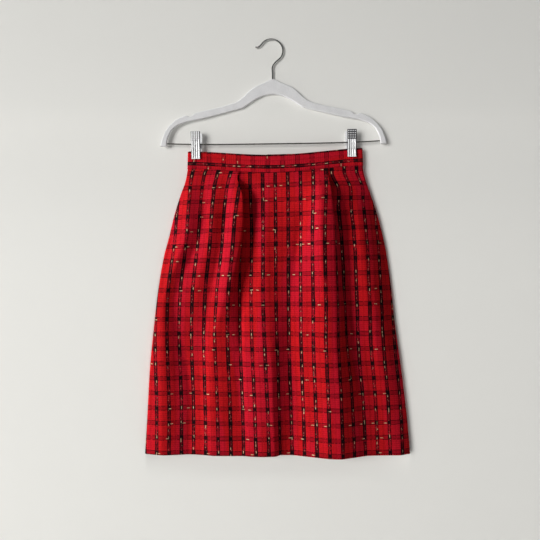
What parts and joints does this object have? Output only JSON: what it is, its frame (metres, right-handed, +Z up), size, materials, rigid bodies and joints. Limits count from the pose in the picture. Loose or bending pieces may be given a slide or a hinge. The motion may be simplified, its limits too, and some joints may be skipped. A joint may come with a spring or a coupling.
{
  "type": "pencil skirt on a clip hanger",
  "caption": "Knee-length checked wool skirt with a waistband and soft front pleats, hung by spring clips from a slim flocked hanger with a wire hook.",
  "frame": {"origin": "inside top of the hanger's hook, where it hangs on a rod", "axes": "+Z up, the garment's front faces -Y, +X to the viewer's right"},
  "size_m": [0.5214, 0.0649, 0.816],
  "materials": {
    "checked_wool": "matt woven wool, red with black double stripes and cream flecks",
    "zip_tape": "matt woven tape",
    "zip_metal": "nickel, satin",
    "button": "semi-gloss dark red",
    "flock": "pale grey flock on plastic",
    "chrome": "polished chrome",
    "spring_steel": "dark spring steel"
  },
  "bodies": {
    "root": {"front_panel": "checked_wool", "back_left_panel": "checked_wool", "back_right_panel": "checked_wool", "waistband": "checked_wool", "zip_tape": "zip_tape", "zip_coil": "zip_tape", "zip_slider": "zip_metal", "waist_button": "button", "hanger_body": "flock", "hanger_hook": "chrome", "hanger_bar": "chrome", "left_clip_front": "chrome", "left_clip_back": "chrome", "left_clip_spring": "spring_steel", "right_clip_front": "chrome", "right_clip_back": "chrome", "right_clip_spring": "spring_steel"},
    "zip_pull": {"zip_pull": "zip_metal"}
  },
  "joints": [
    {"name": "zip_pull_swing", "type": "hinge", "parent": "root", "child": "zip_pull", "pos_m": [0.0081, 0.01108, -0.27488], "axis": [1, 0, 0], "range_deg": [0, 150]}
  ]
}
